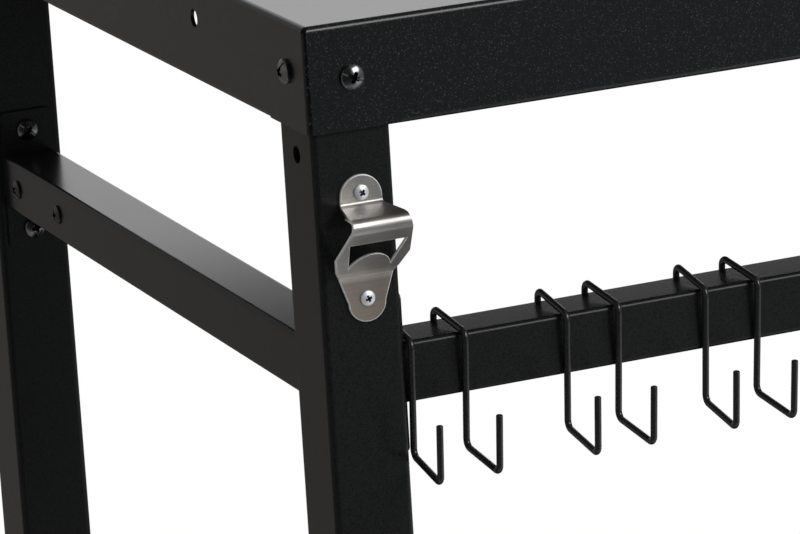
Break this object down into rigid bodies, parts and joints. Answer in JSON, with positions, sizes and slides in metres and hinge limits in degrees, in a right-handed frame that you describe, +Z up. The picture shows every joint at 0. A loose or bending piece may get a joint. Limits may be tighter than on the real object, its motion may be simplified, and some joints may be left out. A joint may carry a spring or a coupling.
{
  "type": "grill table",
  "caption": "Black grill table: a folded sheet worktop on square tube legs, with side rails, a rail of sliding hooks, a bottle opener and a lower shelf.",
  "frame": {"origin": "on the floor, under the middle of the table's overall box, with its hooks and screw heads", "axes": "+X from left to right along the front, where the hooks hang; +Y to the back; +Z up"},
  "size_m": [0.9078, 0.5623, 0.85],
  "materials": {
    "black_coat": "satin black powder coat",
    "hook_coat": "satin black coat on wire",
    "black_screw": "glossy black zinc plate",
    "zinc": "bright zinc plate",
    "opener_steel": "brushed stainless steel, grain across the strip",
    "black_plastic": "matt black moulded plastic"
  },
  "bodies": {
    "table": {"worktop": "black_coat", "top_stiffener_left": "black_coat", "top_stiffener_right": "black_coat", "leg_front_left": "black_coat", "leg_front_right": "black_coat", "leg_rear_left": "black_coat", "leg_rear_right": "black_coat", "side_rail_left": "black_coat", "side_rail_right": "black_coat", "hook_rail": "black_coat", "side_bracket_left": "black_coat", "side_bracket_right": "black_coat", "hook_bracket_left": "black_coat", "hook_bracket_right": "black_coat", "lower_shelf": "black_coat", "shelf_stiffener": "black_coat", "bottle_opener": "opener_steel", "plug_front_left": "black_plastic", "plug_front_right": "black_plastic", "plug_rear_left": "black_plastic", "plug_rear_right": "black_plastic", "worktop_screws": "black_screw", "worktop_nuts": "zinc", "bracket_screws": "black_screw", "bracket_nuts": "zinc", "rail_screws": "black_screw", "rail_nuts": "zinc", "shelf_screws": "black_screw", "shelf_nuts": "zinc", "opener_screws": "zinc", "opener_nuts": "zinc"},
    "hook_1": {"hook_1": "hook_coat"},
    "hook_2": {"hook_2": "hook_coat"},
    "hook_3": {"hook_3": "hook_coat"},
    "hook_4": {"hook_4": "hook_coat"},
    "hook_5": {"hook_5": "hook_coat"},
    "hook_6": {"hook_6": "hook_coat"},
    "foot_front_left": {"stud_front_left": "zinc", "pad_front_left": "black_plastic"},
    "foot_front_right": {"stud_front_right": "zinc", "pad_front_right": "black_plastic"},
    "foot_rear_left": {"stud_rear_left": "zinc", "pad_rear_left": "black_plastic"},
    "foot_rear_right": {"stud_rear_right": "zinc", "pad_rear_right": "black_plastic"}
  },
  "joints": [
    {"name": "hook_1_slide", "type": "slide", "parent": "table", "child": "hook_1", "axis": [1, 0, 0], "range_m": [-0.0001, 0.0107]},
    {"name": "hook_2_slide", "type": "slide", "parent": "table", "child": "hook_2", "axis": [1, 0, 0], "range_m": [-0.0107, 0.0237]},
    {"name": "hook_3_slide", "type": "slide", "parent": "table", "child": "hook_3", "axis": [1, 0, 0], "range_m": [-0.0237, 0.0108]},
    {"name": "hook_4_slide", "type": "slide", "parent": "table", "child": "hook_4", "axis": [1, 0, 0], "range_m": [-0.0108, 0.0201]},
    {"name": "hook_5_slide", "type": "slide", "parent": "table", "child": "hook_5", "axis": [1, 0, 0], "range_m": [-0.0201, 0.0108]},
    {"name": "hook_6_slide", "type": "slide", "parent": "table", "child": "hook_6", "axis": [1, 0, 0], "range_m": [-0.0108, 0.6238]},
    {"name": "foot_front_left_height", "type": "slide", "parent": "table", "child": "foot_front_left", "axis": [0, 0, 1], "range_m": [-0.012, 0.0027]},
    {"name": "foot_front_right_height", "type": "slide", "parent": "table", "child": "foot_front_right", "axis": [0, 0, 1], "range_m": [-0.012, 0.0027]},
    {"name": "foot_rear_left_height", "type": "slide", "parent": "table", "child": "foot_rear_left", "axis": [0, 0, 1], "range_m": [-0.012, 0.0027]},
    {"name": "foot_rear_right_height", "type": "slide", "parent": "table", "child": "foot_rear_right", "axis": [0, 0, 1], "range_m": [-0.012, 0.0027]}
  ]
}
